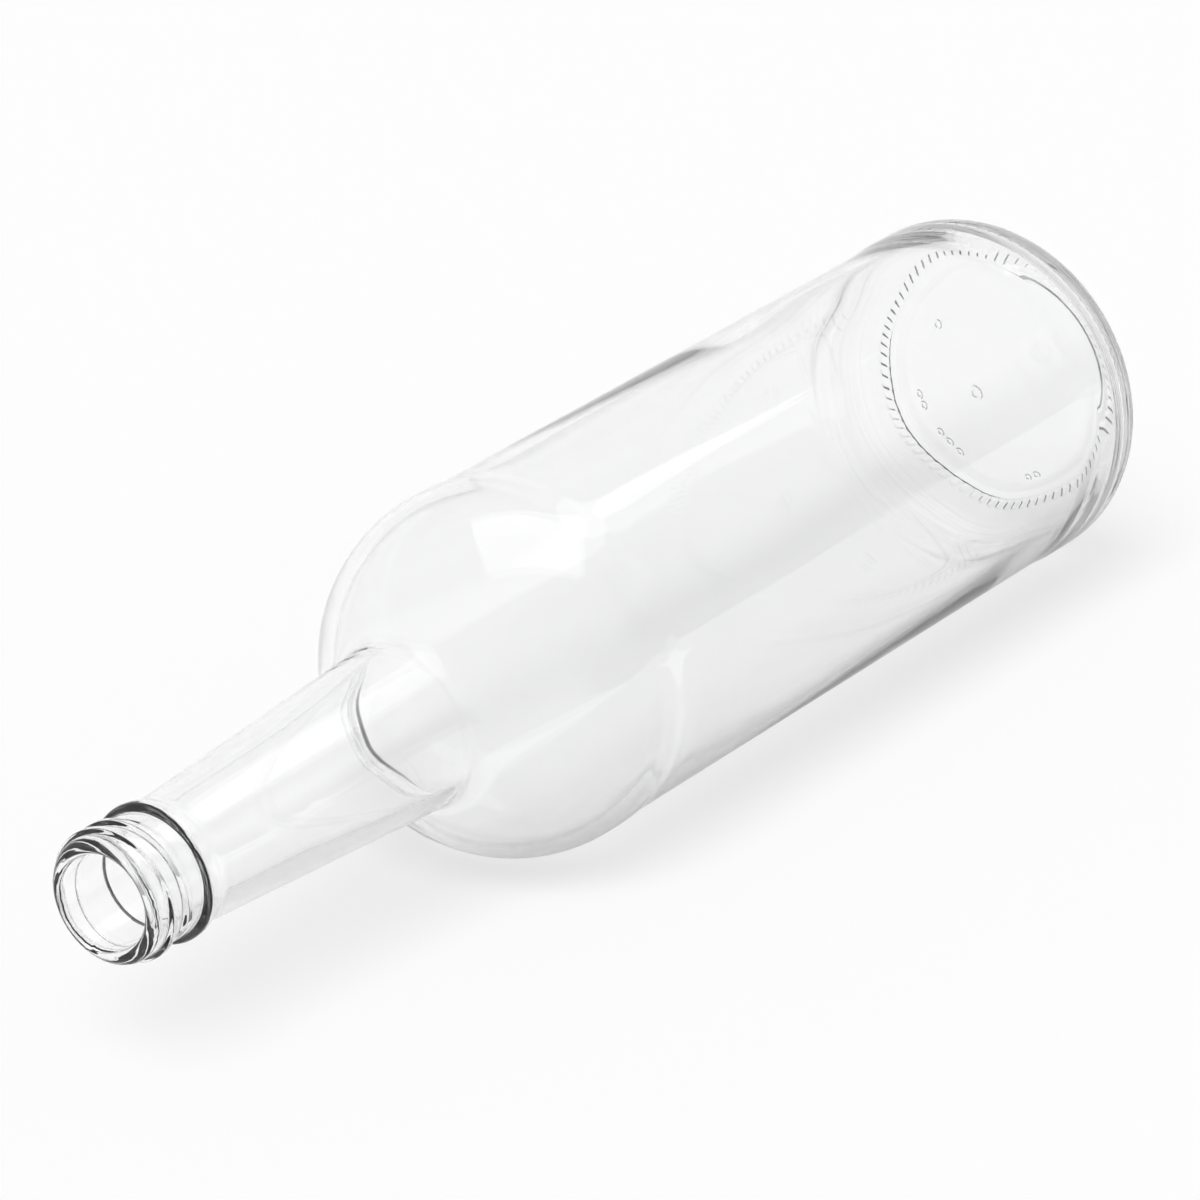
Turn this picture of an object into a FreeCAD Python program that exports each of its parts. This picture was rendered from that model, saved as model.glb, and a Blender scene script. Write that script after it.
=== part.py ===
"""Empty clear-glass bottle with a straight neck and a screw finish, lying on its side.

One moulded piece of glass. Its wall is one closed outline, turned about the
bottle's own axis: push-up, bearing ring, heel, recessed label panel, round
shoulder, tapered neck, bead, finish and lip outside, then bore, neck, body and
domed floor inside. The bottle is then laid down with its mouth towards -X, so
that it rests on its heel band and its shoulder band, each with a narrow flat
where it meets the ground.

Millimetres. Origin on the ground below the middle of the bottle, +Z up.
"""
import FreeCAD, Part
import math
import os

# ---- Driving dimensions: body and shoulder, outside --------------------------
BOTTLE_HEIGHT = 301.0        # bearing ring to the top of the lip
BODY_DIAMETER = 76.0         # over the heel band and the shoulder band
LABEL_RECESS = 0.4           # how far the label panel lies below both bands
PANEL_BLEND_RADIUS = 15.0    # of the soft curves at each end of the panel
HEEL_RADIUS = 9.5            # round from the bearing ring up to the heel band
HEEL_BAND_WIDTH = 7.5        # straight band above the heel
SHOULDER_HEIGHT = 177.0      # bearing ring to where the shoulder starts to curve in
SHOULDER_BAND_WIDTH = 3.0    # straight band just below the shoulder
SHOULDER_RADIUS = 33.0       # of the round shoulder, seen from the side

# ---- Driving dimensions: neck and finish, outside -----------------------------
NECK_ROOT_DIAMETER = 34.6    # of the neck, level with the crown of the shoulder's round
NECK_FILLET_RADIUS = 6.0     # hollow curve between shoulder and neck
NECK_INSET = 0.1             # how far the top of the neck lies below the finish wall
FINISH_DIAMETER = 25.4       # wall that the cap's thread stands on
BEAD_STANDOUT = 1.35         # how far the bead stands out from the finish wall
BEAD_WIDTH = 4.2             # of the bead, along the axis
BEAD_DEPTH = 15.1            # top of the lip to the middle of the bead
BEAD_UPPER_FILLET = 0.8      # hollow curve between bead and finish wall
BEAD_LOWER_FILLET = 2.5      # hollow curve between bead and neck
LIP_RADIUS = 1.8             # round of the lip's outer edge
BORE_EDGE_RADIUS = 1.2       # round of the lip's inner edge

# ---- Driving dimensions: glass thickness ---------------------------------------
FINISH_WALL = 3.3            # between the bore and the finish wall
BORE_DEPTH = 22.0            # top of the lip to where the neck starts to widen inside
NECK_WALL = 3.2              # at the root of the neck
BODY_WALL = 2.6              # at the label panel
INNER_HEEL_RADIUS = 8.0      # round between the inner wall and the floor
FLOOR_EDGE_THICKNESS = 4.5   # bearing ring to the lowest place of the floor
FLOOR_THICKNESS = 5.0        # in the middle of the base

# ---- Driving dimensions: underside and rest ------------------------------------
PUSH_UP_HEIGHT = 5.0         # middle of the underside above the bearing ring
BEARING_WIDTH = 2.0          # flat ring that the bottle stands on
BEARING_ROUND = 2.5          # round from the bearing ring into the push-up
REST_FLAT_DEPTH = 0.2        # how much both bands are flattened where the bottle lies

# ---- Worked out from the above ---------------------------------------------------
body_radius = BODY_DIAMETER / 2.0
inner_radius = body_radius - LABEL_RECESS - BODY_WALL
crown_height = SHOULDER_HEIGHT + SHOULDER_RADIUS
finish_radius = FINISH_DIAMETER / 2.0
bore_radius = finish_radius - FINISH_WALL
bead_height = BOTTLE_HEIGHT - BEAD_DEPTH


class Outline:
    """A chain of lines and arcs; a place is (distance from the axis, height)."""

    def __init__(self, radius, height):
        self.start = (radius, height)
        self.end = self.start
        self.edges = []

    def line_to(self, radius, height):
        line = Part.LineSegment(in_plane(self.end), in_plane((radius, height)))
        self.edges.append(line.toShape())
        self.end = (radius, height)

    def arc_to(self, centre, angle):
        """Arc about centre up to the given direction, the shorter way round."""
        reach = math.dist(centre, self.end)
        start = direction(centre, self.end)
        turn = (angle - start + 180.0) % 360.0 - 180.0
        middle = polar(centre, reach, start + turn / 2.0)
        finish = polar(centre, reach, angle)
        arc = Part.Arc(in_plane(self.end), in_plane(middle), in_plane(finish))
        self.edges.append(arc.toShape())
        self.end = finish

    def soft_step_to(self, radius, blend):
        """Two equal arcs, tangent to each other, that lead up to another radius."""
        step = radius - self.end[0]
        top = self.end[1] + step_rise(step, blend)
        side = math.copysign(blend, step)
        first = (self.end[0] + side, self.end[1])
        second = (radius - side, top)
        self.arc_to(first, direction(first, second))
        self.arc_to(second, 0.0 if step > 0.0 else 180.0)

    def turned(self):
        """The solid that the closed outline makes, turned about the Z axis."""
        self.line_to(*self.start)
        face = Part.Face(Part.Wire(self.edges))
        return face.revolve(FreeCAD.Vector(0, 0, 0), FreeCAD.Vector(0, 0, 1), 360.0)


def in_plane(place):
    return FreeCAD.Vector(place[0], 0.0, place[1])


def polar(centre, reach, angle):
    turn = math.radians(angle)
    return (centre[0] + reach * math.cos(turn), centre[1] + reach * math.sin(turn))


def direction(start, end):
    """Angle of the way from one place to another, in degrees, 0 being outwards."""
    return math.degrees(math.atan2(end[1] - start[1], end[0] - start[0]))


def step_rise(step, blend):
    """Height taken by a soft step of this depth between two arcs of this radius."""
    depth = abs(step)
    return 2.0 * math.sqrt(blend * depth - depth * depth / 4.0)


def fillet_centre(round_centre, round_radius, line_foot, line_top, fillet, side=1.0):
    """Centre of a fillet in the corner outside a round and beside a nearly upright line.

    The fillet lies outwards of the line, above the round for side 1, below it for -1.
    """
    length = math.dist(line_foot, line_top)
    along = ((line_top[0] - line_foot[0]) / length, (line_top[1] - line_foot[1]) / length)
    across = (along[1], -along[0])
    base = (line_foot[0] + across[0] * fillet, line_foot[1] + across[1] * fillet)
    offset = (base[0] - round_centre[0], base[1] - round_centre[1])
    ahead = offset[0] * along[0] + offset[1] * along[1]
    clear = offset[0] ** 2 + offset[1] ** 2 - (round_radius + fillet) ** 2
    way = -ahead + side * math.sqrt(ahead ** 2 - clear)
    return (base[0] + along[0] * way, base[1] + along[1] * way)


def dome(ring_radius, ring_round, ring_height, top_height):
    """Centre of the dome that reaches top_height on the axis and runs into a ring's round."""
    drop = ring_height - top_height
    radius = (ring_radius ** 2 + drop ** 2 - ring_round ** 2) / (2.0 * (ring_round - drop))
    return (0.0, top_height - radius)


def add_underside(wall):
    """Push-up, bearing ring and heel, from the axis out to the heel band."""
    heel_centre = (body_radius - HEEL_RADIUS, HEEL_RADIUS)
    ring_centre = (heel_centre[0] - BEARING_WIDTH, BEARING_ROUND)
    dome_centre = dome(ring_centre[0], BEARING_ROUND, BEARING_ROUND, PUSH_UP_HEIGHT)
    wall.arc_to(dome_centre, direction(dome_centre, ring_centre))
    wall.arc_to(ring_centre, -90.0)
    wall.line_to(heel_centre[0], 0.0)
    wall.arc_to(heel_centre, 0.0)


def add_body(wall):
    """Heel band, recessed label panel and shoulder band."""
    panel_radius = body_radius - LABEL_RECESS
    panel_top = SHOULDER_HEIGHT - SHOULDER_BAND_WIDTH - step_rise(LABEL_RECESS, PANEL_BLEND_RADIUS)
    wall.line_to(body_radius, HEEL_RADIUS + HEEL_BAND_WIDTH)
    wall.soft_step_to(panel_radius, PANEL_BLEND_RADIUS)
    wall.line_to(panel_radius, panel_top)
    wall.soft_step_to(body_radius, PANEL_BLEND_RADIUS)
    wall.line_to(body_radius, SHOULDER_HEIGHT)


def add_shoulder_and_neck(wall):
    """Round shoulder, hollow curve, tapered neck and the bead that ends it."""
    shoulder_centre = (body_radius - SHOULDER_RADIUS, SHOULDER_HEIGHT)
    neck_root = (NECK_ROOT_DIAMETER / 2.0, crown_height)
    neck_top = (finish_radius - NECK_INSET, bead_height)
    hollow = fillet_centre(shoulder_centre, SHOULDER_RADIUS, neck_root, neck_top,
                           NECK_FILLET_RADIUS)
    square_to_neck = direction(neck_root, neck_top) + 90.0
    wall.arc_to(shoulder_centre, direction(shoulder_centre, hollow))
    wall.arc_to(hollow, square_to_neck)

    bead_round = BEAD_WIDTH / 2.0
    bead_centre = (finish_radius + BEAD_STANDOUT - bead_round, bead_height)
    below_bead = fillet_centre(bead_centre, bead_round, neck_root, neck_top,
                               BEAD_LOWER_FILLET, side=-1.0)
    wall.line_to(*polar(below_bead, BEAD_LOWER_FILLET, square_to_neck))
    wall.arc_to(below_bead, direction(below_bead, bead_centre))
    above_bead = fillet_centre(bead_centre, bead_round, (finish_radius, bead_height),
                               (finish_radius, BOTTLE_HEIGHT), BEAD_UPPER_FILLET)
    wall.arc_to(bead_centre, direction(bead_centre, above_bead))
    wall.arc_to(above_bead, 180.0)


def add_lip(wall):
    """Finish wall and both rounds of the lip, which a thin wall makes smaller."""
    share = min(1.0, 0.95 * FINISH_WALL / (LIP_RADIUS + BORE_EDGE_RADIUS))
    outer_round = LIP_RADIUS * share
    inner_round = BORE_EDGE_RADIUS * share
    wall.line_to(finish_radius, BOTTLE_HEIGHT - outer_round)
    wall.arc_to((finish_radius - outer_round, BOTTLE_HEIGHT - outer_round), 90.0)
    wall.line_to(bore_radius + inner_round, BOTTLE_HEIGHT)
    wall.arc_to((bore_radius + inner_round, BOTTLE_HEIGHT - inner_round), 180.0)


def add_inside(wall):
    """Bore, inside of neck, shoulder and body, and the floor, down to the axis."""
    bore_end = (bore_radius, BOTTLE_HEIGHT - BORE_DEPTH)
    neck_root = (NECK_ROOT_DIAMETER / 2.0 - NECK_WALL, crown_height)
    shoulder_centre = (body_radius - SHOULDER_RADIUS, SHOULDER_HEIGHT)
    shoulder_reach = inner_radius - shoulder_centre[0]
    hollow_radius = NECK_FILLET_RADIUS + SHOULDER_RADIUS - shoulder_reach
    hollow = fillet_centre(shoulder_centre, shoulder_reach, neck_root, bore_end, hollow_radius)
    wall.line_to(*bore_end)
    wall.line_to(*polar(hollow, hollow_radius, direction(neck_root, bore_end) + 90.0))
    wall.arc_to(hollow, direction(hollow, shoulder_centre))
    wall.arc_to(shoulder_centre, 0.0)

    heel_centre = (inner_radius - INNER_HEEL_RADIUS, FLOOR_EDGE_THICKNESS + INNER_HEEL_RADIUS)
    dome_centre = dome(heel_centre[0], INNER_HEEL_RADIUS, heel_centre[1],
                       PUSH_UP_HEIGHT + FLOOR_THICKNESS)
    wall.line_to(inner_radius, heel_centre[1])
    wall.arc_to(heel_centre, direction(heel_centre, dome_centre))
    wall.arc_to(dome_centre, 90.0)


def laid_down(bottle):
    """Mouth towards -X, middle above the origin, lowest line just below the ground."""
    bottle.rotate(FreeCAD.Vector(0, 0, 0), FreeCAD.Vector(0, 1, 0), -90.0)
    bottle.translate(FreeCAD.Vector(BOTTLE_HEIGHT / 2.0, 0.0, body_radius - REST_FLAT_DEPTH))
    return bottle


def with_rest_flats(bottle):
    """Cuts off what reaches below the ground, a narrow flat on each band."""
    ground = Part.makeBox(BOTTLE_HEIGHT, BODY_DIAMETER, BODY_DIAMETER,
                          FreeCAD.Vector(-BOTTLE_HEIGHT / 2.0, -body_radius, -BODY_DIAMETER))
    return bottle.cut(ground)


def glass_bottle():
    wall = Outline(0.0, PUSH_UP_HEIGHT)
    add_underside(wall)
    add_body(wall)
    add_shoulder_and_neck(wall)
    add_lip(wall)
    add_inside(wall)
    solids = with_rest_flats(laid_down(wall.turned())).Solids
    if len(solids) != 1 or not solids[0].isValid():
        raise RuntimeError("the bottle is not one valid solid")
    return solids[0]


def main():
    os.makedirs("parts", exist_ok=True)
    bottle = glass_bottle()
    bottle.exportStep("parts/glass_bottle.step")
    print("glass_bottle: one solid, %.1f cm3 of glass" % (bottle.Volume / 1000.0))


main()
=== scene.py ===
"""Empty clear-glass bottle with a screw finish, lying on its side.

One shell of glass, outside and inside, turned about the bottle's own axis and
then given its thread, its ring of knurls, its mould dots, a few fine lines and
the slow waves of its inner wall. Sizes are in metres.
"""

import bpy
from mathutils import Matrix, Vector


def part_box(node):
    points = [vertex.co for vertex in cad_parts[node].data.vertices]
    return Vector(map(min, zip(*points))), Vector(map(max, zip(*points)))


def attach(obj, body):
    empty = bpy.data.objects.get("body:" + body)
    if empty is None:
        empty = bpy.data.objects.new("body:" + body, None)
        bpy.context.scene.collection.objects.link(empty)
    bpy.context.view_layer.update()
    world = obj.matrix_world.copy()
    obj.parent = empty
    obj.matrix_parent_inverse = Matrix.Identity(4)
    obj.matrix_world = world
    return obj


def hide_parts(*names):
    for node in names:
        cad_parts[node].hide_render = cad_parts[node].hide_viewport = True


bl_info = {
    "name": "Glass Bottle",
    "version": (1, 0, 0),
    "blender": (4, 5, 0),
    "location": "3D View > Sidebar > Bottle",
    "description": "Clear glass bottle lying on its side, with a plain pale stage",
    "category": "Add Mesh",
}

import math

import bpy
import numpy as np
from bpy.props import FloatProperty, FloatVectorProperty, IntProperty, PointerProperty
from mathutils import Vector

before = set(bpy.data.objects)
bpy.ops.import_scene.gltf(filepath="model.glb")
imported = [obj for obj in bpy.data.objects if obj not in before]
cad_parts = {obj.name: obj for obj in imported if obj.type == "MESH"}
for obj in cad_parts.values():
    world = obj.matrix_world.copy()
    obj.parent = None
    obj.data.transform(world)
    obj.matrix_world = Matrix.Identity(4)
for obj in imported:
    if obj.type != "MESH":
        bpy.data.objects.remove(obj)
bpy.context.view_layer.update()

LOW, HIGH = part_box("glass_bottle")
LENGTH = HIGH.x - LOW.x
DIAMETER = HIGH.y - LOW.y
AXIS_HEIGHT = HIGH.z - DIAMETER / 2.0

# The plain grid of the shell, and the finest split of one of its cells
COLUMNS = 128
FINEST = 8


def size(name, description, default):
    """A length that the user may change."""
    return FloatProperty(name=name, description=description, default=default,
                         unit="LENGTH", subtype="DISTANCE", precision=5)


# ---- Settings ------------------------------------------------------------------


class BottleBodySettings(bpy.types.PropertyGroup):
    """Sizes of the body, the base and the shoulder."""

    label_recess: size("Label recess", "Depth of the label panel below both bands", 0.0004)
    panel_blend: size("Panel blend", "Radius of the soft curves at the panel's ends", 0.015)
    heel_radius: size("Heel radius", "Round from the bearing ring to the heel band", 0.0095)
    heel_band: size("Heel band", "Width of the straight band above the heel", 0.0075)
    shoulder_height: size("Shoulder height", "Where the shoulder starts to curve in", 0.177)
    shoulder_band: size("Shoulder band", "Width of the band below the shoulder", 0.003)
    shoulder_radius: size("Shoulder radius", "Radius of the round shoulder", 0.033)
    body_wall: size("Body wall", "Thickness of the glass at the label panel", 0.0026)
    inner_heel: size("Inner heel", "Round between inner wall and floor", 0.008)
    floor_edge: size("Floor edge", "Thickness at the floor's lowest place", 0.0045)
    floor_middle: size("Floor middle", "Thickness in the middle of the base", 0.005)
    push_up: size("Push-up", "Height of the underside's middle", 0.005)
    bearing_width: size("Bearing width", "Flat ring that the bottle stands on", 0.002)
    bearing_round: size("Bearing round", "Round from the ring into the push-up", 0.0025)
    wave_depth: size("Wave depth", "Depth of the slow waves of the inner wall", 0.00028)


class BottleNeckSettings(bpy.types.PropertyGroup):
    """Sizes of the neck, the bead, the thread and the lip."""

    neck_root: size("Neck root", "Diameter of the neck at the shoulder", 0.0346)
    neck_fillet: size("Neck fillet", "Hollow curve between shoulder and neck", 0.006)
    neck_inset: size("Neck inset", "Step from the finish wall in to the neck", 0.0001)
    neck_wall: size("Neck wall", "Thickness of the glass at the neck's root", 0.0032)
    finish: size("Finish", "Diameter of the wall that carries the thread", 0.0254)
    finish_wall: size("Finish wall", "Thickness of the glass behind the thread", 0.0033)
    bore_depth: size("Bore depth", "Straight part of the bore", 0.022)
    bead_standout: size("Bead stand-out", "How far the bead stands out", 0.00135)
    bead_crest: size("Bead crest", "Width of the bead's flat crest", 0.0004)
    bead_high_round: size("Bead high round", "Round of the crest's edge to the lip", 0.0010)
    bead_low_round: size("Bead low round", "Round of the crest's edge to the neck", 0.006)
    bead_depth: size("Bead depth", "Top of the lip to the middle of the bead", 0.0151)
    bead_upper: size("Bead upper fillet", "Hollow curve above the bead", 0.0006)
    bead_lower: size("Bead lower fillet", "Hollow curve below the bead", 0.006)
    lip_radius: size("Lip radius", "Round of the lip's outer edge", 0.0018)
    bore_edge: size("Bore edge", "Round of the lip's inner edge", 0.0012)
    skin_depth: size("Skin depth", "Unevenness of the finish", 0.000025)
    seam: FloatProperty(name="Seam", description="Where the finish mould parts",
                        default=math.radians(-22.0), subtype="ANGLE", unit="ROTATION")
    thread_pitch: size("Thread pitch", "Distance between two turns", 0.0041)
    thread_top: size("Thread top", "Lip to where the thread's crest begins", 0.0025)
    thread_height: size("Thread height", "How far the thread stands out", 0.00095)
    thread_half_width: size("Thread half width", "Half the thread's width", 0.00135)
    thread_turns: FloatProperty(name="Thread turns", description="Turns of the thread",
                                default=1.62, min=0.5, max=4.0)
    thread_start: FloatProperty(name="Thread start", description="Where the thread begins",
                                default=math.radians(100.0), subtype="ANGLE", unit="ROTATION")


class BottleMarkSettings(bpy.types.PropertyGroup):
    """The knurls beside the bearing ring, and the dots and fine lines of the base."""

    knurls: IntProperty(name="Knurls", description="Ridges beside the bearing ring", default=76)
    knurl_depth: size("Knurl depth", "Depth of the hollows between the ridges", 0.00045)
    knurl_reach: size("Knurl reach", "Half the width of the knurled ring", 0.0015)
    knurl_slant: FloatProperty(name="Knurl slant", description="Lean of each ridge",
                               default=0.9, min=-3.0, max=3.0)
    dot_height: size("Dot height", "How far a mould dot stands out", 0.00026)
    line_depth: size("Line depth", "How deep the fine lines of the heel are", 0.00012)
    line_width: size("Line width", "Half the width of a fine line of the heel", 0.00028)
    line_turn: FloatProperty(name="Line turn", description="Where the fine lines are deepest",
                             subtype="ANGLE", default=2.3)


class BottleGlassSettings(bpy.types.PropertyGroup):
    """The glass itself."""

    tint: FloatVectorProperty(name="Tint", description="Colour of the clear glass",
                              default=(0.985, 0.992, 0.988), size=3, subtype="COLOR",
                              min=0.0, max=1.0)
    # Painted shade: this grey is painted into the glass's colour where the surface is seen
    # edge-on, standing in for the dark outlines along the glass's edges
    painted_rim_shade: FloatVectorProperty(name="Rim", description="Colour where the glass is seen edge-on",
                             default=(0.25, 0.25, 0.25), size=3, subtype="COLOR",
                             min=0.0, max=1.0)
    ior: FloatProperty(name="IOR", description="Index of refraction", default=1.52)
    absorption: FloatProperty(name="Absorption", description="Density of the grey in the glass",
                              default=10.0, min=0.0)
    ripple: size("Ripple", "Height of the finest ripple of the moulded skin", 0.00001)


class BottleStageSettings(bpy.types.PropertyGroup):
    """Floor, light and camera."""

    floor_colour: FloatVectorProperty(name="Floor colour", description="Colour of the floor",
                                      default=(0.80, 0.80, 0.80), size=3, subtype="COLOR",
                                      min=0.0, max=1.0)
    softbox_height: size("Softbox height", "Height of the overhead softbox", 0.9)
    softbox_glow: FloatProperty(name="Softbox glow", description="Brightness in mirrors",
                                default=1.75, min=0.0)
    key_power: FloatProperty(name="Key power", description="Watts on each square metre",
                             default=2.6, min=0.0)
    key_spread: FloatProperty(name="Key spread", description="How wide the key light looks",
                              default=math.radians(33.0), subtype="ANGLE", unit="ROTATION")
    view_azimuth: FloatProperty(name="View azimuth", description="Camera's turn about the object",
                                default=math.radians(-54.18), subtype="ANGLE", unit="ROTATION")
    view_elevation: FloatProperty(name="View elevation", description="Camera above the horizon",
                                  default=math.radians(24.99), subtype="ANGLE", unit="ROTATION")
    view_distance: size("View distance", "Camera to the point it aims at", 1.372)
    view_lens: FloatProperty(name="Lens", description="Focal length in millimetres", default=209.8)


# ---- The wall's outline -----------------------------------------------------------


def polar(centre, reach, angle):
    """The point at this distance and angle from the centre."""
    return (centre[0] + reach * math.cos(angle), centre[1] + reach * math.sin(angle))


def direction(start, end):
    """Angle of the way from start to end."""
    return math.atan2(end[1] - start[1], end[0] - start[0])


def step_rise(step, blend):
    """Height that a soft step of two equal arcs takes up."""
    depth = abs(step)
    return 2.0 * math.sqrt(blend * depth - depth * depth / 4.0)


def fillet_centre(centre, radius, foot, top, fillet, side=1.0):
    """Centre of a fillet outside a round and beside a nearly upright line."""
    length = math.dist(foot, top)
    along = ((top[0] - foot[0]) / length, (top[1] - foot[1]) / length)
    across = (along[1], -along[0])
    base = (foot[0] + across[0] * fillet, foot[1] + across[1] * fillet)
    offset = (base[0] - centre[0], base[1] - centre[1])
    ahead = offset[0] * along[0] + offset[1] * along[1]
    clear = offset[0] ** 2 + offset[1] ** 2 - (radius + fillet) ** 2
    way = -ahead + side * math.sqrt(ahead ** 2 - clear)
    return (base[0] + along[0] * way, base[1] + along[1] * way)


def dome(ring_radius, ring_round, ring_height, top_height):
    """Centre of the dome that runs into a ring's round."""
    drop = ring_height - top_height
    radius = (ring_radius ** 2 + drop ** 2 - ring_round ** 2) / (2.0 * (ring_round - drop))
    return (0.0, top_height - radius)


# Slack for comparing two lengths along the outline
ROUNDING = 1e-12


class Wall:
    """The closed outline of the glass: a chain of lines and arcs in (radius, height)."""

    def __init__(self, radius, height, step):
        self.end = (radius, height)
        self.parts = []
        self.courses = [0.0]
        self.marks = {}
        self.length = 0.0
        self.step = step

    def mark(self, name, step=None):
        """Names this place, and sets how close the rows lie from here on."""
        self.marks[name] = self.length
        self.step = step or self.step

    def add(self, span, place):
        rows = max(1, math.ceil(span / self.step))
        self.parts.append((self.length, span, place))
        for row in range(1, rows + 1):
            self.courses.append(self.length + span * row / rows)
        self.length += span

    def line_to(self, radius, height):
        start, end = self.end, (radius, height)
        span = math.dist(start, end)
        way = ((end[0] - start[0]) / span, (end[1] - start[1]) / span)
        self.add(span, lambda s: (start[0] + way[0] * s, start[1] + way[1] * s,
                                  way[1], -way[0]))
        self.end = end

    def arc_to(self, centre, angle):
        """Arc about centre up to the given direction, the shorter way round."""
        reach = math.dist(centre, self.end)
        first = direction(centre, self.end)
        turn = (angle - first + math.pi) % (2.0 * math.pi) - math.pi
        side = math.copysign(1.0, turn)

        def place(s):
            at = first + side * s / reach
            where = polar(centre, reach, at)
            return (where[0], where[1], side * math.cos(at), side * math.sin(at))

        self.add(abs(turn) * reach, place)
        self.end = polar(centre, reach, angle)

    def soft_step_to(self, radius, blend):
        """Two equal arcs, tangent to each other, that lead up to another radius."""
        step = radius - self.end[0]
        top = self.end[1] + step_rise(step, blend)
        side = math.copysign(blend, step)
        first = (self.end[0] + side, self.end[1])
        second = (radius - side, top)
        self.arc_to(first, direction(first, second))
        self.arc_to(second, 0.0 if step > 0.0 else math.pi)

    def place(self, along):
        """(radius, height, outward radius, outward height) at this length of the outline."""
        for start, span, place in self.parts:
            if along <= start + span + ROUNDING:
                return place(along - start)
        start, span, place = self.parts[-1]
        return place(span)


def bottle_wall(body, neck):
    """The whole outline: under the base, up the outside, over the lip, down the inside."""
    radius = DIAMETER / 2.0
    inner = radius - body.label_recess - body.body_wall
    crown = body.shoulder_height + body.shoulder_radius
    finish = neck.finish / 2.0
    bore = finish - neck.finish_wall
    bead_height = LENGTH - neck.bead_depth

    wall = Wall(0.0, body.push_up, 0.0016)
    heel = (radius - body.heel_radius, body.heel_radius)
    ring = (heel[0] - body.bearing_width, body.bearing_round)
    cap = dome(ring[0], body.bearing_round, body.bearing_round, body.push_up)
    wall.arc_to(cap, direction(cap, ring))
    wall.mark("bearing", 0.0009)
    wall.arc_to(ring, -math.pi / 2.0)
    wall.mark("ring")
    wall.line_to(heel[0], 0.0)
    wall.mark("heel")
    wall.arc_to(heel, 0.0)

    wall.mark("heel band", 0.0025)
    panel = radius - body.label_recess
    wall.line_to(radius, body.heel_radius + body.heel_band)
    wall.soft_step_to(panel, body.panel_blend)
    wall.mark("panel", 0.005)
    rise = step_rise(body.label_recess, body.panel_blend)
    wall.line_to(panel, body.shoulder_height - body.shoulder_band - rise)
    wall.mark("shoulder band", 0.0016)
    wall.soft_step_to(radius, body.panel_blend)
    wall.line_to(radius, body.shoulder_height)

    wall.mark("shoulder")
    shoulder = (radius - body.shoulder_radius, body.shoulder_height)
    root = (neck.neck_root / 2.0, crown)
    top = (finish - neck.neck_inset, bead_height)
    hollow = fillet_centre(shoulder, body.shoulder_radius, root, top, neck.neck_fillet)
    square = direction(root, top) + math.pi / 2.0
    wall.arc_to(shoulder, direction(shoulder, hollow))
    wall.mark("hollow", 0.0006)
    wall.arc_to(hollow, square)
    wall.mark("neck", 0.004)
    crest = finish + neck.bead_standout
    low = (crest - neck.bead_low_round, bead_height - neck.bead_crest / 2.0)
    high = (crest - neck.bead_high_round, bead_height + neck.bead_crest / 2.0)
    below = fillet_centre(low, neck.bead_low_round, root, top, neck.bead_lower, side=-1.0)
    wall.line_to(*polar(below, neck.bead_lower, square))
    wall.mark("below bead", 0.0003)
    wall.arc_to(below, direction(below, low))
    above = fillet_centre(high, neck.bead_high_round, (finish, bead_height),
                          (finish, LENGTH), neck.bead_upper)
    wall.mark("bead", 0.00020)
    wall.arc_to(low, 0.0)
    wall.line_to(crest, high[1])
    wall.arc_to(high, direction(high, above))
    wall.arc_to(above, math.pi)
    wall.mark("finish", 0.00016)
    wall.line_to(finish, LENGTH - neck.lip_radius)
    wall.mark("lip", 0.00028)
    wall.arc_to((finish - neck.lip_radius, LENGTH - neck.lip_radius), math.pi / 2.0)
    wall.line_to(bore + neck.bore_edge, LENGTH)
    wall.arc_to((bore + neck.bore_edge, LENGTH - neck.bore_edge), math.pi)

    wall.mark("bore", 0.0011)
    bore_end = (bore, LENGTH - neck.bore_depth)
    inner_root = (neck.neck_root / 2.0 - neck.neck_wall, crown)
    reach = inner - shoulder[0]
    inner_fillet = neck.neck_fillet + body.shoulder_radius - reach
    hollow = fillet_centre(shoulder, reach, inner_root, bore_end, inner_fillet)
    wall.line_to(*bore_end)
    wall.mark("inner neck", 0.003)
    wall.line_to(*polar(hollow, inner_fillet, direction(inner_root, bore_end) + math.pi / 2.0))
    wall.mark("inner hollow", 0.0008)
    wall.arc_to(hollow, direction(hollow, shoulder))
    wall.mark("inner shoulder", 0.0016)
    wall.arc_to(shoulder, 0.0)
    wall.mark("inner body", 0.004)
    floor = (inner - body.inner_heel, body.floor_edge + body.inner_heel)
    cap = dome(floor[0], body.inner_heel, floor[1], body.push_up + body.floor_middle)
    wall.line_to(inner, floor[1])
    wall.mark("inner heel", 0.0008)
    wall.arc_to(floor, direction(floor, cap))
    wall.mark("floor", 0.002)
    wall.arc_to(cap, math.pi / 2.0)
    wall.mark("end")
    return wall


# ---- Relief on the wall ------------------------------------------------------------


def smooth(x):
    """0 below 0, 1 above 1, and a soft step between."""
    x = np.clip(x, 0.0, 1.0)
    return x * x * (3.0 - 2.0 * x)


# Share of a turn in which the thread rises and runs out, and share of its half width
# that is flank
THREAD_RISE = 0.12
THREAD_RUN_OUT = 0.06
THREAD_FLANK = 0.62


def thread_relief(neck, height, angle):
    """The screw thread: a rounded ridge that climbs towards the lip, right-handed."""
    depth = LENGTH - height
    turn = ((neck.thread_start - angle) / (2.0 * math.pi)) % 1.0
    ridge = np.zeros_like(depth)
    for lap in range(math.ceil(neck.thread_turns) + 1):
        run = turn + lap
        crest = neck.thread_top + neck.thread_pitch * run
        off = np.abs(depth - crest) / neck.thread_half_width
        ends = smooth(run / THREAD_RISE) * smooth((neck.thread_turns - run) / THREAD_RUN_OUT)
        ridge = np.maximum(ridge, ends * smooth((1.0 - off) / THREAD_FLANK))
    return neck.thread_height * ridge


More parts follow.
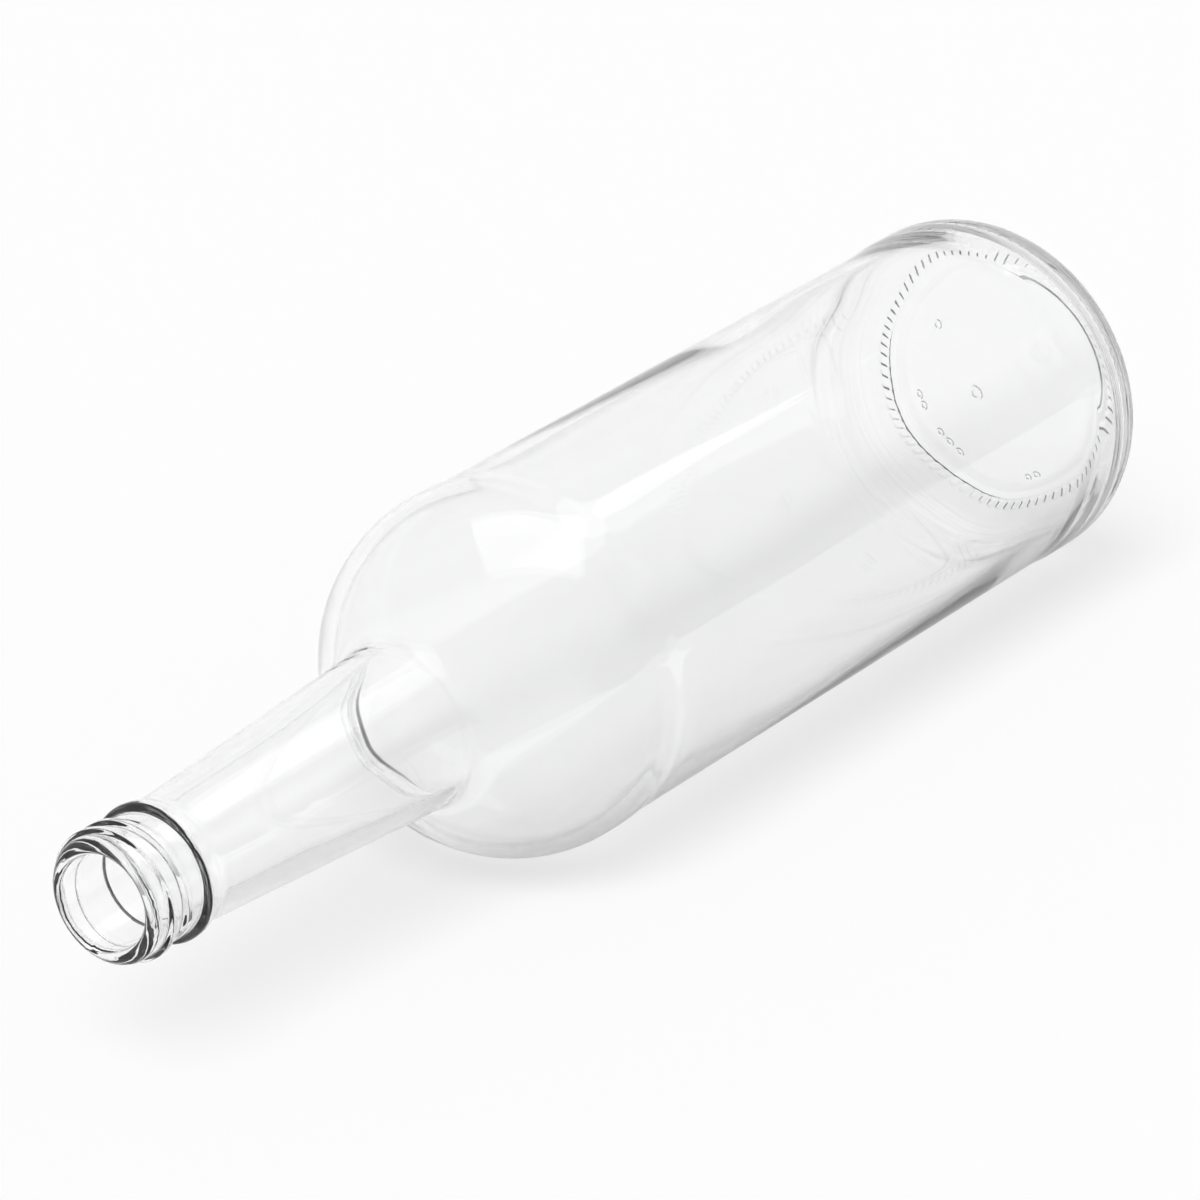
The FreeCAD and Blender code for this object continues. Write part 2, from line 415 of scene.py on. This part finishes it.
# Height that counts as one unit in the waves of the skin and of the inner wall
WAVE_UNIT = 0.01
SEAM_WIDTH = 0.02


def skin_relief(neck, height, angle):
    """Fine unevenness that the mould leaves on the finish, with its two seams."""
    h = height / WAVE_UNIT
    skin = (
        0.40 * np.sin(7.0 * angle + 5.1 * h + 0.4)
        + 0.30 * np.sin(13.0 * angle - 7.7 * h + 2.9)
        + 0.20 * np.sin(23.0 * angle + 12.9 * h + 1.1)
        + 0.10 * np.sin(41.0 * angle - 21.0 * h + 4.6)
    )
    seam = np.exp(-(np.sin(angle - neck.seam) / SEAM_WIDTH) ** 2)
    return neck.skin_depth * (skin + 1.5 * seam)


def knurl_relief(marks, off, angle):
    """Slanted ridges round the base, sunk so that their crests stay level with the wall."""
    envelope = smooth((marks.knurl_reach - np.abs(off)) / (0.45 * marks.knurl_reach))
    phase = angle * marks.knurls + 2.0 * marks.knurl_slant * off / marks.knurl_reach
    crest = (0.5 + 0.5 * np.cos(phase)) ** 1.5
    return -marks.knurl_depth * envelope * (1.0 - crest)


# Plain mould dots on the underside: (distance from the axis, angle round it, radius)
MOULD_DOTS = (
    (0.0193, 1.97, 0.0011), (0.0191, 2.10, 0.0011), (0.0193, 2.45, 0.0011),
    (0.0196, 2.59, 0.0011), (0.0202, 2.73, 0.0011), (0.0036, 2.37, 0.0019),
    (0.0167, 0.95, 0.0014), (0.0222, -2.62, 0.0010), (0.0222, -2.73, 0.0010),
)


def dot_relief(marks, radius, angle):
    """Small raised rings, each with a hollow in its middle."""
    across, up = radius * np.sin(angle), radius * np.cos(angle)
    relief = np.zeros_like(radius)
    for reach, turn, dot in MOULD_DOTS:
        off = np.hypot(across - reach * math.sin(turn), up - reach * math.cos(turn)) / dot
        ring = np.exp(-((off - 0.62) / 0.26) ** 2)
        relief = np.maximum(relief, ring)
    return marks.dot_height * relief


def mould_lines(marks, wall):
    """Distance along the outline, depth and half width of each fine line of the base."""
    heel = wall.marks["heel"]
    return (
        (heel - 0.0004, 5.0 * marks.line_depth, 2.0 * marks.line_width),
        (heel + 0.0062, marks.line_depth, marks.line_width),
        (heel + 0.0088, marks.line_depth, marks.line_width),
        (heel + 0.0112, marks.line_depth, marks.line_width),
    )


def line_relief(marks, wall, along, angle):
    """Fine sunk lines round the heel and inside the knurls, for the dark arcs they give."""
    relief = np.zeros_like(along)
    for middle, depth, width in mould_lines(marks, wall):
        off = (along - middle) / width
        relief -= depth * np.exp(-off * off)
    return relief * (0.15 + 0.85 * np.cos(angle - marks.line_turn) ** 2)


# From the start of the heel's round to the middle of the knurls
KNURL_SEAT = 0.0018


def knurl_middle(wall):
    """Where the ring of knurls runs: on the first of the heel's round."""
    return wall.marks["heel"] + KNURL_SEAT


def wave_relief(body, height, angle):
    """Slow waves that blowing leaves in the inner wall."""
    h = height / WAVE_UNIT
    wave = (
        0.34 * np.sin(2.0 * angle + 0.21 * h + 0.6)
        + 0.26 * np.sin(3.0 * angle - 0.33 * h + 2.1)
        + 0.22 * np.sin(5.0 * angle + 0.52 * h + 4.0)
        + 0.14 * np.sin(1.0 * angle + 0.95 * h + 1.3)
        + 0.12 * np.sin(7.0 * angle - 0.78 * h + 5.2)
    )
    return body.wave_depth * wave


def eased(along, start, end, rise, fall):
    """1 between start and end, easing to 0 within rise and fall of them."""
    return smooth((along - start) / rise) * smooth((end - along) / fall)


def wall_relief(settings, wall, along, radius, height, angle):
    """How far each point of the shell stands out from the plain turned wall."""
    body, neck, marks = settings
    at = wall.marks
    relief = np.zeros_like(radius)
    threaded = (along >= at["finish"]) & (along <= at["lip"])
    relief[threaded] = thread_relief(neck, height[threaded], angle[threaded])
    finish = (along >= at["below bead"]) & (along <= at["bore"])
    ease = eased(along[finish], at["below bead"], at["bore"], 0.002, 0.002)
    relief[finish] += ease * skin_relief(neck, height[finish], angle[finish])
    middle = knurl_middle(wall)
    ring = np.abs(along - middle) < marks.knurl_reach
    relief[ring] = knurl_relief(marks, along[ring] - middle, angle[ring])
    base = along < at["heel band"]
    relief[base] += line_relief(marks, wall, along[base], angle[base])
    under = along < at["bearing"]
    relief[under] += dot_relief(marks, radius[under], angle[under])
    inside = (along > at["inner neck"]) & (along < at["floor"])
    ease = eased(along[inside], at["inner neck"], at["floor"], 0.03, 0.012)
    relief[inside] = ease * wave_relief(body, height[inside], angle[inside])
    return relief


# ---- The shell's mesh -----------------------------------------------------------------


def fineness(settings, wall, along, angle):
    """(parts round, parts along) that one cell of the plain grid is split into."""
    marks = settings[2]
    at = wall.marks
    if abs(along - knurl_middle(wall)) < marks.knurl_reach + 0.0003:
        return 8, 2
    for middle, _, width in mould_lines(marks, wall):
        if abs(along - middle) < 2.5 * width + 0.0003:
            return 1, 4
    if at["below bead"] <= along <= at["bore"] + 0.0006:
        return 2, 1
    if along < at["bearing"] - 0.001:
        reach = wall.place(along)[0]
        across, up = reach * math.sin(angle), reach * math.cos(angle)
        for dot in MOULD_DOTS:
            near = math.hypot(across - dot[0] * math.sin(dot[1]), up - dot[0] * math.cos(dot[1]))
            if near < 1.2 * dot[2] + 0.0008:
                return 8, 8
    return 1, 1


def shell_faces(courses, columns, split):
    """Faces of the shell as loops of (course, column) on the finest grid."""
    rows = len(courses) - 1
    faces = []
    for i in range(rows):
        for j in range(columns):
            round_parts, along_parts = split[i][j]
            left = split[i][j - 1][1]
            right = split[i][(j + 1) % columns][1]
            below = split[i - 1][j][0] if i > 0 else 1
            above = split[i + 1][j][0] if i < rows - 1 else 1
            wide, tall = FINEST // round_parts, FINEST // along_parts
            for p in range(round_parts):
                for q in range(along_parts):
                    j0, i0 = j * FINEST + p * wide, i * FINEST + q * tall
                    j1, i1 = j0 + wide, i0 + tall
                    foot = FINEST // max(round_parts, below) if q == 0 else wide
                    head = FINEST // max(round_parts, above) if q == along_parts - 1 else wide
                    near = FINEST // max(along_parts, left) if p == 0 else tall
                    far = FINEST // max(along_parts, right) if p == round_parts - 1 else tall
                    loop = [(i0, c) for c in range(j0, j1, foot)]
                    loop += [(r, j1) for r in range(i0, i1, far)]
                    loop += [(i1, c) for c in range(j1, j0, -head)]
                    loop += [(r, j0) for r in range(i1, i0, -near)]
                    faces.append(loop)
    return faces


def bottle_mesh(settings, columns=COLUMNS):
    """The glass shell: outline, relief, and its place in the frame."""
    wall = bottle_wall(settings[0], settings[1])
    courses = wall.courses
    rows = len(courses) - 1
    turn = 2.0 * math.pi / columns
    split = [
        [fineness(settings, wall, (courses[i] + courses[i + 1]) / 2.0, (j + 0.5) * turn)
         for j in range(columns)]
        for i in range(rows)
    ]
    keys, faces = {}, []
    last = rows * FINEST
    for loop in shell_faces(courses, columns, split):
        face = []
        for row, column in loop:
            key = (row, 0) if row in (0, last) else (row, column % (columns * FINEST))
            number = keys.setdefault(key, len(keys))
            if number not in face:
                face.append(number)
        if len(face) > 2:
            faces.append(face)

    grid = np.array(list(keys), float)
    row_along = np.interp(np.arange(last + 1) / FINEST, np.arange(rows + 1), courses)
    places = np.array([wall.place(s) for s in row_along])
    pick = grid[:, 0].astype(int)
    angle = grid[:, 1] / FINEST * turn
    along = row_along[pick]
    radius, height, out_r, out_h = places[pick].T
    radius = radius.copy()
    radius[(pick == 0) | (pick == last)] = 0.0
    relief = wall_relief(settings, wall, along, radius, height, angle)
    reach = np.maximum(radius + out_r * relief, 0.0)
    x = np.clip(HIGH.x - (height + out_h * relief), LOW.x, HIGH.x)
    y = reach * np.sin(angle)
    z = AXIS_HEIGHT + reach * np.cos(angle)
    z = np.maximum(z, LOW.z)
    mesh = bpy.data.meshes.new("glass_shell")
    mesh.from_pydata(np.column_stack((x, y, z)).tolist(), [], faces)
    mesh.update()
    mesh.shade_smooth()
    return mesh


# ---- Materials ---------------------------------------------------------------------------


class Nodes:
    """Short ways to add and join the nodes of one material or world."""

    def __init__(self, owner):
        owner.use_nodes = True
        self.tree = owner.node_tree
        self.tree.nodes.clear()

    def add(self, kind, **values):
        node = self.tree.nodes.new("ShaderNode" + kind)
        for name, value in values.items():
            setattr(node, name, value)
        return node

    def join(self, source, target):
        self.tree.links.new(source, target)

    def maths(self, operation, *values):
        node = self.add("Math", operation=operation)
        for socket, value in zip(node.inputs, values):
            if isinstance(value, (int, float)):
                socket.default_value = value
            else:
                self.join(value, socket)
        return node.outputs[0]

    def seen_in_glass(self, path):
        """1 for rays that a mirror or the glass sends on."""
        return self.maths("MAXIMUM", path.outputs["Is Glossy Ray"],
                          path.outputs["Is Transmission Ray"])

    def noise(self, where, scale, detail=2.0):
        node = self.add("TexNoise")
        node.inputs["Scale"].default_value = scale
        node.inputs["Detail"].default_value = detail
        self.join(where, node.inputs["Vector"])
        return node.outputs["Fac"]

    def spread(self, value, low, high, start=0.0, end=1.0):
        """Maps start..end to low..high."""
        node = self.add("MapRange")
        self.join(value, node.inputs["Value"])
        for name, number in (("From Min", start), ("From Max", end),
                             ("To Min", low), ("To Max", high)):
            node.inputs[name].default_value = number
        return node.outputs["Result"]


def flint_glass(glass):
    """Clear moulded glass: a faint ripple, barely uneven gloss, painted shade where it is seen
    edge-on, and light shadows.
    """
    material = bpy.data.materials.new("flint_glass")
    nodes = Nodes(material)
    place = nodes.add("TexCoord").outputs["Object"]
    skin = nodes.noise(place, 90.0, 3.0)
    surface = nodes.add("BsdfPrincipled")
    surface.inputs["Transmission Weight"].default_value = 1.0
    surface.inputs["IOR"].default_value = glass.ior
    surface.inputs["Roughness"].default_value = 0.0
    tint = nodes.add("MixRGB")
    tint.inputs["Color1"].default_value = (*glass.tint, 1.0)
    tint.inputs["Color2"].default_value = (1.0, 1.0, 1.0, 1.0)
    nodes.join(nodes.noise(place, 25.0), tint.inputs["Fac"])
    edge = nodes.add("LayerWeight")
    edge.inputs["Blend"].default_value = 0.5
    # Painted shade: where the surface is seen edge-on its colour turns to the dark rim grey, for
    # dark outlines along the glass's edges
    painted_rim_shade = nodes.add("MixRGB")
    nodes.join(nodes.spread(edge.outputs["Facing"], 0.0, 1.0, 0.80, 0.97), painted_rim_shade.inputs["Fac"])
    nodes.join(tint.outputs["Color"], painted_rim_shade.inputs["Color1"])
    painted_rim_shade.inputs["Color2"].default_value = (*glass.painted_rim_shade, 1.0)
    nodes.join(painted_rim_shade.outputs["Color"], surface.inputs["Base Color"])
    bump = nodes.add("Bump")
    bump.inputs["Strength"].default_value = 1.0
    bump.inputs["Distance"].default_value = glass.ripple
    nodes.join(skin, bump.inputs["Height"])
    nodes.join(bump.outputs["Normal"], surface.inputs["Normal"])

    veil = nodes.spread(edge.outputs["Facing"], 0.965, 0.8, 0.4, 1.0)
    grey = nodes.add("CombineColor")
    for channel in grey.inputs:
        nodes.join(veil, channel)
    clear = nodes.add("BsdfTransparent")
    nodes.join(grey.outputs["Color"], clear.inputs["Color"])
    path = nodes.add("LightPath")
    shaded = nodes.add("MixShader")
    nodes.join(path.outputs["Is Shadow Ray"], shaded.inputs["Fac"])
    nodes.join(surface.outputs["BSDF"], shaded.inputs[1])
    nodes.join(clear.outputs["BSDF"], shaded.inputs[2])
    spread = nodes.add("MixShader")
    nodes.join(path.outputs["Is Diffuse Ray"], spread.inputs["Fac"])
    nodes.join(shaded.outputs[0], spread.inputs[1])
    nodes.join(clear.outputs["BSDF"], spread.inputs[2])
    output = nodes.add("OutputMaterial")
    nodes.join(spread.outputs[0], output.inputs["Surface"])
    body = nodes.add("VolumeAbsorption")
    body.inputs["Color"].default_value = (0.5, 0.5, 0.5, 1.0)
    body.inputs["Density"].default_value = glass.absorption
    nodes.join(body.outputs[0], output.inputs["Volume"])
    return material


# The painted shadow under the bottle, a strip of floor that glass and mirrors see darker: its
# middle across Y, the half widths between which the floor's own glow comes back, and that glow
SHADOW_STRIP_MIDDLE = -0.022
SHADOW_STRIP_INNER = 0.006
SHADOW_STRIP_OUTER = 0.03
FLOOR_GLOW = 0.2


def pale_floor(stage):
    """White floor that keeps soft shadows, with a painted shadow that makes it darker beneath the
    bottle when seen through it.
    """
    material = bpy.data.materials.new("pale_floor")
    nodes = Nodes(material)
    matt = nodes.add("BsdfDiffuse")
    matt.inputs["Color"].default_value = (*stage.floor_colour, 1.0)
    lift = nodes.add("Emission")
    lift.inputs["Color"].default_value = (1.0, 1.0, 1.0, 1.0)
    path = nodes.add("LightPath")
    place = nodes.add("SeparateXYZ")
    nodes.join(nodes.add("TexCoord").outputs["Object"], place.inputs["Vector"])
    aside = nodes.maths("ABSOLUTE", nodes.maths("ADD", place.outputs["Y"], -SHADOW_STRIP_MIDDLE))
    # Painted shadow: the glow that glass and mirrors see fades out towards a strip beneath the
    # bottle
    glow_beside_painted_shadow = nodes.spread(aside, 0.0, FLOOR_GLOW, SHADOW_STRIP_INNER, SHADOW_STRIP_OUTER)
    through = nodes.seen_in_glass(path)
    straight = nodes.maths("MULTIPLY", path.outputs["Is Camera Ray"], FLOOR_GLOW)
    nodes.join(nodes.maths("MULTIPLY_ADD", through, glow_beside_painted_shadow, straight), lift.inputs["Strength"])
    both = nodes.add("AddShader")
    nodes.join(matt.outputs[0], both.inputs[0])
    nodes.join(lift.outputs[0], both.inputs[1])
    output = nodes.add("OutputMaterial")
    nodes.join(both.outputs[0], output.inputs["Surface"])
    return material


def softbox_cloth(stage):
    """Even glow that only mirrors and glass see."""
    material = bpy.data.materials.new("softbox_cloth")
    nodes = Nodes(material)
    glow = nodes.add("Emission")
    glow.inputs["Strength"].default_value = stage.softbox_glow
    output = nodes.add("OutputMaterial")
    nodes.join(glow.outputs[0], output.inputs["Surface"])
    return material


# The side of the room that is darker in glass and mirrors, and the grey of its soft light
DARK_SIDE = (0.585, -0.811)
ROOM_GREY = 0.29


def studio_world():
    """White behind everything; a light grey room with dark gaps for glass and mirrors."""
    world = bpy.data.worlds.new("studio")
    nodes = Nodes(world)
    way = nodes.add("TexCoord").outputs["Generated"]
    parts = nodes.add("SeparateXYZ")
    nodes.join(way, parts.inputs["Vector"])
    path = nodes.add("LightPath")
    beside = nodes.maths("ADD", nodes.maths("MULTIPLY", parts.outputs["X"], DARK_SIDE[0]),
                         nodes.maths("MULTIPLY", parts.outputs["Y"], DARK_SIDE[1]))
    low = nodes.spread(parts.outputs["Z"], 1.0, 0.0, 0.2, 0.45)
    dark = nodes.maths("MULTIPLY", nodes.spread(beside, 0.0, 1.0, 0.55, 0.85), low)
    gap = nodes.spread(dark, 0.95, 0.45)
    seen = nodes.seen_in_glass(path)
    level = nodes.add("MixRGB")
    nodes.join(seen, level.inputs["Fac"])
    level.inputs["Color1"].default_value = (ROOM_GREY, ROOM_GREY, ROOM_GREY, 1.0)
    nodes.join(gap, level.inputs["Color2"])
    white = nodes.add("MixRGB")
    nodes.join(path.outputs["Is Camera Ray"], white.inputs["Fac"])
    nodes.join(level.outputs["Color"], white.inputs["Color1"])
    white.inputs["Color2"].default_value = (1.0, 1.0, 1.0, 1.0)
    background = nodes.add("Background")
    nodes.join(white.outputs["Color"], background.inputs["Color"])
    background.inputs["Strength"].default_value = 1.0
    output = nodes.add("OutputWorld")
    nodes.join(background.outputs[0], output.inputs["Surface"])
    return world


# ---- Operators ---------------------------------------------------------------------------


# Across the floor, for each metre of height: where the softbox's corners hang as seen
# from the shoulder, and where the key light comes from.
SOFTBOX_CORNERS = ((-0.33, 0.10), (0.30, 0.62), (1.20, 0.05), (0.44, -0.61))
KEY_SIDE = (-0.62, -0.22)
SHOULDER_X = -0.04
FLOOR_HALF = 6.0
AIM = (-0.0077, -0.0089, 0.0474)


def show(name, data):
    """A new object in the scene's own collection."""
    thing = bpy.data.objects.new(name, data)
    bpy.context.scene.collection.objects.link(thing)
    return thing


class BOTTLE_OT_glass_bottle(bpy.types.Operator):
    """Build the glass shell with its thread, knurls and dots over the CAD node."""

    bl_idname = "bottle.glass_bottle"
    bl_label = "Glass Bottle"

    def execute(self, context):
        scene = context.scene
        settings = (scene.bottle_body, scene.bottle_neck, scene.bottle_marks)
        bottle = show("clear_glass_bottle", bottle_mesh(settings))
        bottle.data.materials.append(flint_glass(scene.bottle_glass))
        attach(bottle, "root")
        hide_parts("glass_bottle")
        return {"FINISHED"}


class BOTTLE_OT_stage(bpy.types.Operator):
    """Lay the pale floor and set up the soft light, the world and the camera."""

    bl_idname = "bottle.stage"
    bl_label = "Stage"

    def execute(self, context):
        scene = context.scene
        stage = scene.bottle_stage
        mesh = bpy.data.meshes.new("floor")
        turns = ((-1.0, -1.0), (1.0, -1.0), (1.0, 1.0), (-1.0, 1.0))
        corners = [(FLOOR_HALF * x, FLOOR_HALF * y, 0.0) for x, y in turns]
        mesh.from_pydata(corners, [], [(0, 1, 2, 3)])
        mesh.materials.append(pale_floor(stage))
        show("floor", mesh)
        scene.world = studio_world()

        high = stage.softbox_height
        corners = [(SHOULDER_X + high * x, high * y, high) for x, y in SOFTBOX_CORNERS]
        panel = bpy.data.meshes.new("softbox")
        panel.from_pydata(corners, [], [(0, 1, 2, 3)])
        panel.materials.append(softbox_cloth(stage))
        softbox = show("softbox", panel)
        softbox.visible_camera = False
        softbox.visible_diffuse = False
        softbox.visible_shadow = False

        lamp = bpy.data.lights.new("key", "SUN")
        lamp.angle = stage.key_spread
        lamp.energy = stage.key_power
        key = show("key", lamp)
        key.rotation_euler = Vector((*KEY_SIDE, 1.0)).to_track_quat("Z", "Y").to_euler()
        key.visible_camera = False
        key.visible_glossy = False
        key.visible_transmission = False

        lens = bpy.data.cameras.new("camera")
        lens.lens = stage.view_lens
        lens.sensor_width = 36.0
        camera = show("camera", lens)
        turn, rise = stage.view_azimuth, stage.view_elevation
        back = Vector((math.sin(turn) * math.cos(rise), -math.cos(turn) * math.cos(rise),
                       math.sin(rise)))
        camera.location = Vector(AIM) + back * stage.view_distance
        camera.rotation_euler = back.to_track_quat("Z", "Y").to_euler()
        scene.camera = camera
        scene.view_settings.view_transform = "Standard"
        scene.cycles.use_denoising = True
        scene.cycles.max_bounces = 24
        scene.cycles.glossy_bounces = 16
        scene.cycles.transmission_bounces = 24
        return {"FINISHED"}


class BOTTLE_PT_panel(bpy.types.Panel):
    """Lists the bottle's operators."""

    bl_idname = "BOTTLE_PT_panel"
    bl_label = "Glass Bottle"
    bl_space_type = "VIEW_3D"
    bl_region_type = "UI"
    bl_category = "Bottle"

    def draw(self, context):
        for operator in (BOTTLE_OT_glass_bottle, BOTTLE_OT_stage):
            self.layout.operator(operator.bl_idname)


GROUPS = {
    "bottle_body": BottleBodySettings,
    "bottle_neck": BottleNeckSettings,
    "bottle_marks": BottleMarkSettings,
    "bottle_glass": BottleGlassSettings,
    "bottle_stage": BottleStageSettings,
}
CLASSES = (*GROUPS.values(), BOTTLE_OT_glass_bottle, BOTTLE_OT_stage, BOTTLE_PT_panel)


def register():
    for item in CLASSES:
        bpy.utils.register_class(item)
    for name, group in GROUPS.items():
        setattr(bpy.types.Scene, name, PointerProperty(type=group))


def unregister():
    for name in GROUPS:
        delattr(bpy.types.Scene, name)
    for item in reversed(CLASSES):
        bpy.utils.unregister_class(item)


def main():
    register()
    bpy.ops.bottle.stage()
    bpy.ops.bottle.glass_bottle()


if __name__ == "__main__":
    main()
